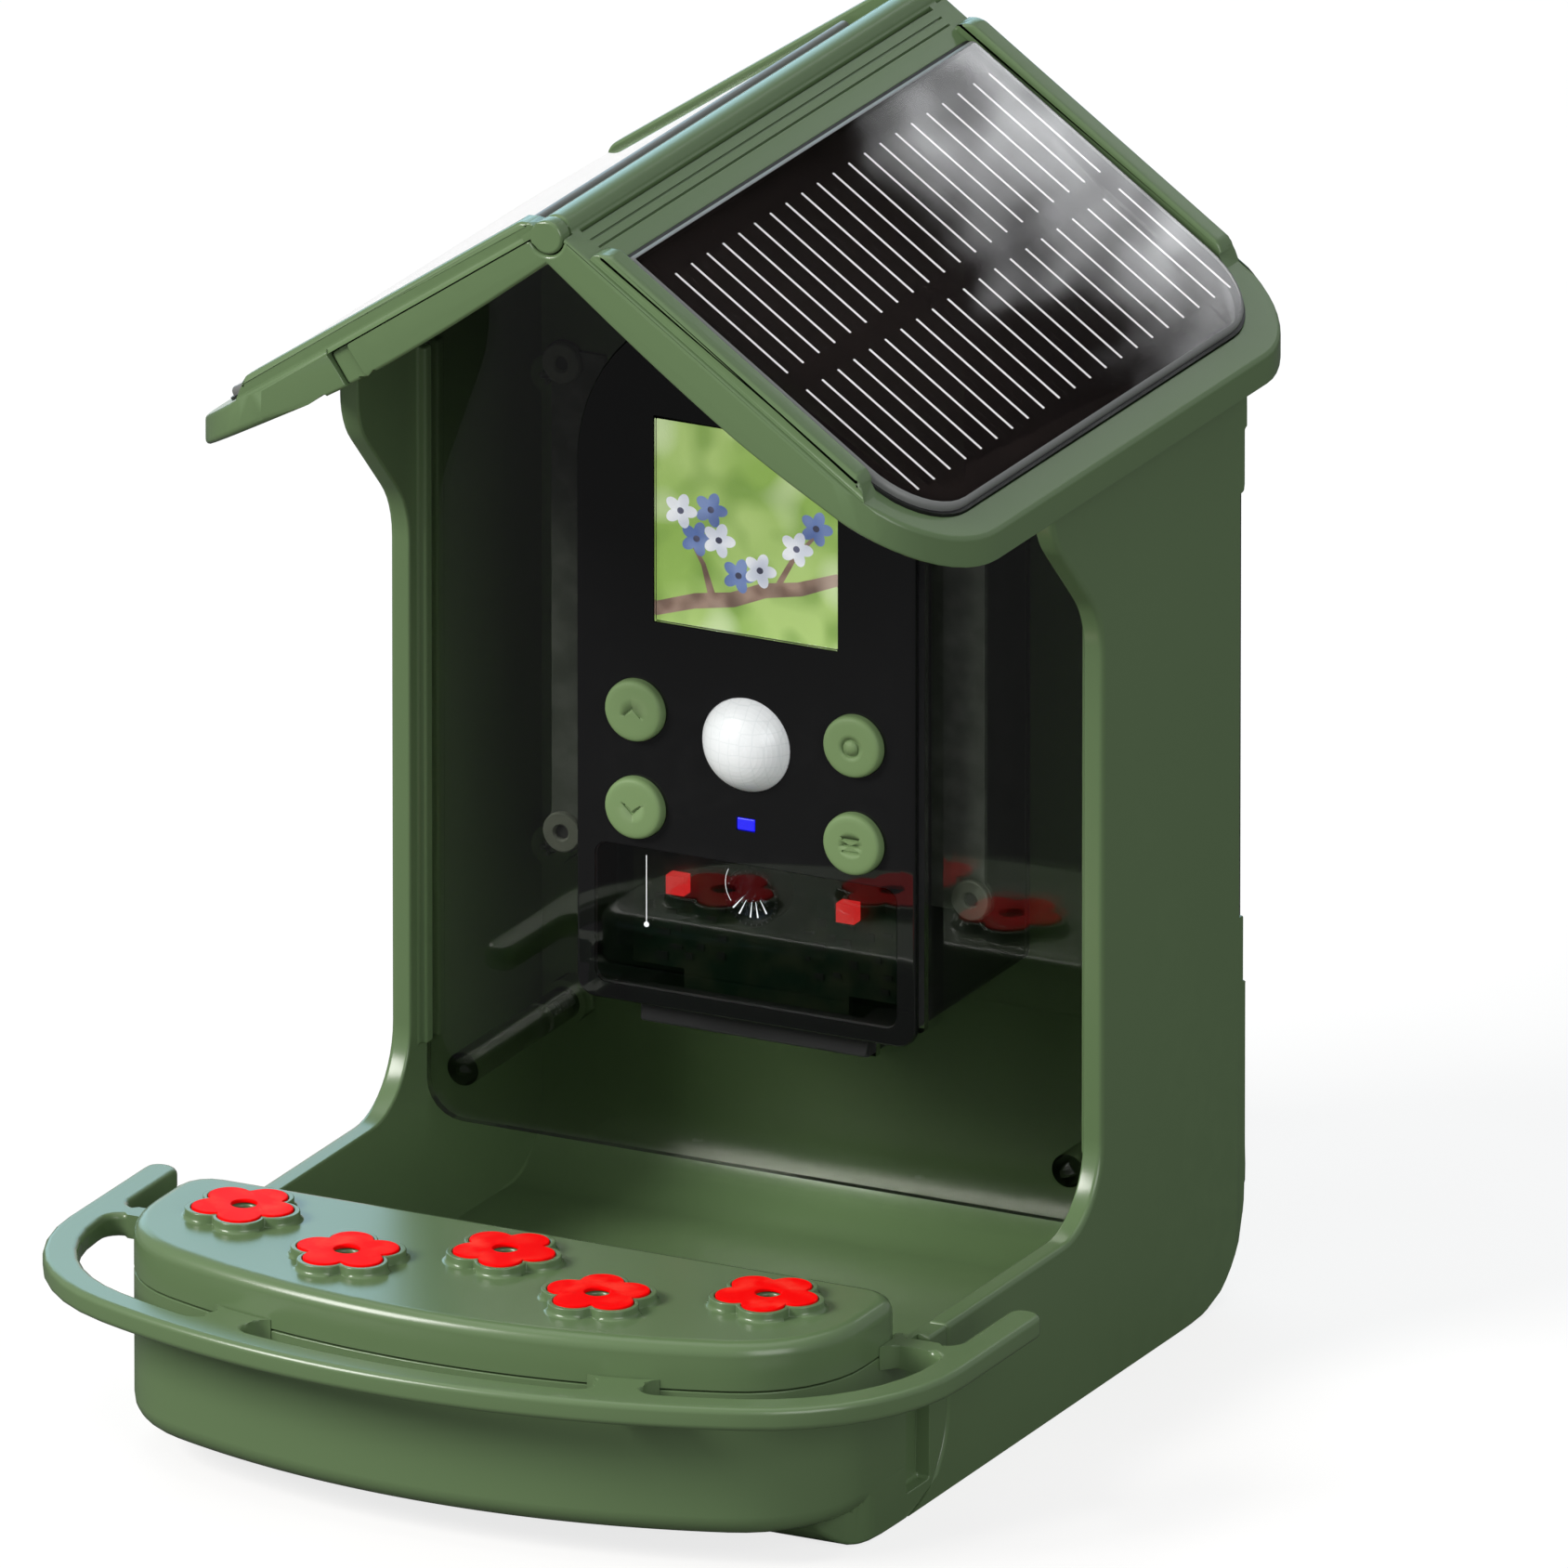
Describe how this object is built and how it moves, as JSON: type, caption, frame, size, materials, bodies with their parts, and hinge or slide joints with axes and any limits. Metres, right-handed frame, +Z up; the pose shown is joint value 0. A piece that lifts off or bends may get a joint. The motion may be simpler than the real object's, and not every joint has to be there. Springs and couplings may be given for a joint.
{
  "type": "bird feeder",
  "caption": "House-shaped seed feeder with a camera module, nectar tray, perch ring, hinged filler lid and solar panels on both roof slopes.",
  "frame": {"origin": "middle of the feeder's underside, under the centre of its overall box", "axes": "+X to the feeder's right as seen from behind the tray facing the wall plate, +Y back to the wall, +Z up"},
  "size_m": [0.2006, 0.2406, 0.2608],
  "materials": {
    "green_plastic": "satin moulded",
    "red_plastic": "satin moulded",
    "black_plastic": "fine moulded grain",
    "bezel_black": "high gloss",
    "clear_smoke": "smoked clear polycarbonate",
    "cover_glass": "clear cover glass",
    "display": "lit display picture",
    "button_green": "satin moulded",
    "panel_glass": "tempered, glossy",
    "solar_cells": "laminated cells with white contact lines",
    "seal_rubber": "matte",
    "soft_rubber": "matte",
    "motion_white": "translucent white lens",
    "steel": "zinc plated",
    "brass": "turned",
    "circuit_board": "solder mask",
    "blue_lamp": "lit diffuser",
    "red_lamp": "lit diffuser",
    "lens_black": "matte",
    "lens_glass": "coated lens",
    "battery_wrap": "shrink sleeve"
  },
  "bodies": {
    "feeder": {"housing": "green_plastic", "seed_window": "clear_smoke", "window_screws": "steel", "front_tray": "green_plastic", "tray_screws": "steel", "perch_ring": "green_plastic", "roof_frame": "green_plastic", "roof_liner": "black_plastic", "roof_screws": "steel", "hinge_pin": "steel", "panel_glass_right": "panel_glass", "panel_cells_right": "solar_cells", "panel_seal_right": "seal_rubber", "charge_board": "circuit_board", "panel_lead": "soft_rubber", "front_bezel": "bezel_black", "lens_window": "clear_smoke", "screen_glass": "cover_glass", "display_panel": "display", "key_board": "circuit_board", "key_switches": "steel", "motion_lens": "motion_white", "motion_sensor": "steel", "status_light": "blue_lamp", "infrared_lamps": "red_lamp", "lens_barrel": "lens_black", "lens_glass": "lens_glass", "sensor_board": "circuit_board", "main_board": "circuit_board", "card_slot": "steel", "charge_port": "steel", "camera_case": "black_plastic", "camera_back": "black_plastic", "case_screws": "steel", "camera_screws": "steel", "battery_cells": "battery_wrap", "battery_holder": "black_plastic", "rear_plate": "black_plastic", "plate_screws": "steel", "tripod_insert": "brass"},
    "lid": {"filler_lid": "green_plastic", "lid_liner": "black_plastic", "panel_glass_left": "panel_glass", "panel_cells_left": "solar_cells", "panel_seal_left": "seal_rubber"},
    "cover": {"tray_cover": "green_plastic", "flower_1": "red_plastic", "flower_2": "red_plastic", "flower_3": "red_plastic", "flower_4": "red_plastic", "flower_5": "red_plastic"},
    "up_key": {"button_up": "button_green"},
    "down_key": {"button_down": "button_green"},
    "ok_key": {"button_ok": "button_green"},
    "menu_key": {"button_menu": "button_green"},
    "port_plug": {"port_cover": "soft_rubber"}
  },
  "joints": [
    {"name": "lid_hinge", "type": "hinge", "parent": "feeder", "child": "lid", "pos_m": [0, 0.0353, 0.2573], "axis": [0, 1, 0], "range_deg": [0, 110]},
    {"name": "cover_lift", "type": "slide", "parent": "feeder", "child": "cover", "axis": [0, 0, 1], "range_m": [0, 0.04]},
    {"name": "press_up", "type": "slide", "parent": "feeder", "child": "up_key", "axis": [0, 1, 0], "range_m": [0, 0.0008], "stiffness_N_per_m": 500},
    {"name": "press_down", "type": "slide", "parent": "feeder", "child": "down_key", "axis": [0, 1, 0], "range_m": [0, 0.0008], "stiffness_N_per_m": 500},
    {"name": "press_ok", "type": "slide", "parent": "feeder", "child": "ok_key", "axis": [0, 1, 0], "range_m": [0, 0.0008], "stiffness_N_per_m": 500},
    {"name": "press_menu", "type": "slide", "parent": "feeder", "child": "menu_key", "axis": [0, 1, 0], "range_m": [0, 0.0008], "stiffness_N_per_m": 500},
    {"name": "port_pull", "type": "slide", "parent": "feeder", "child": "port_plug", "axis": [0, 0, -1], "range_m": [0, 0.01]}
  ]
}
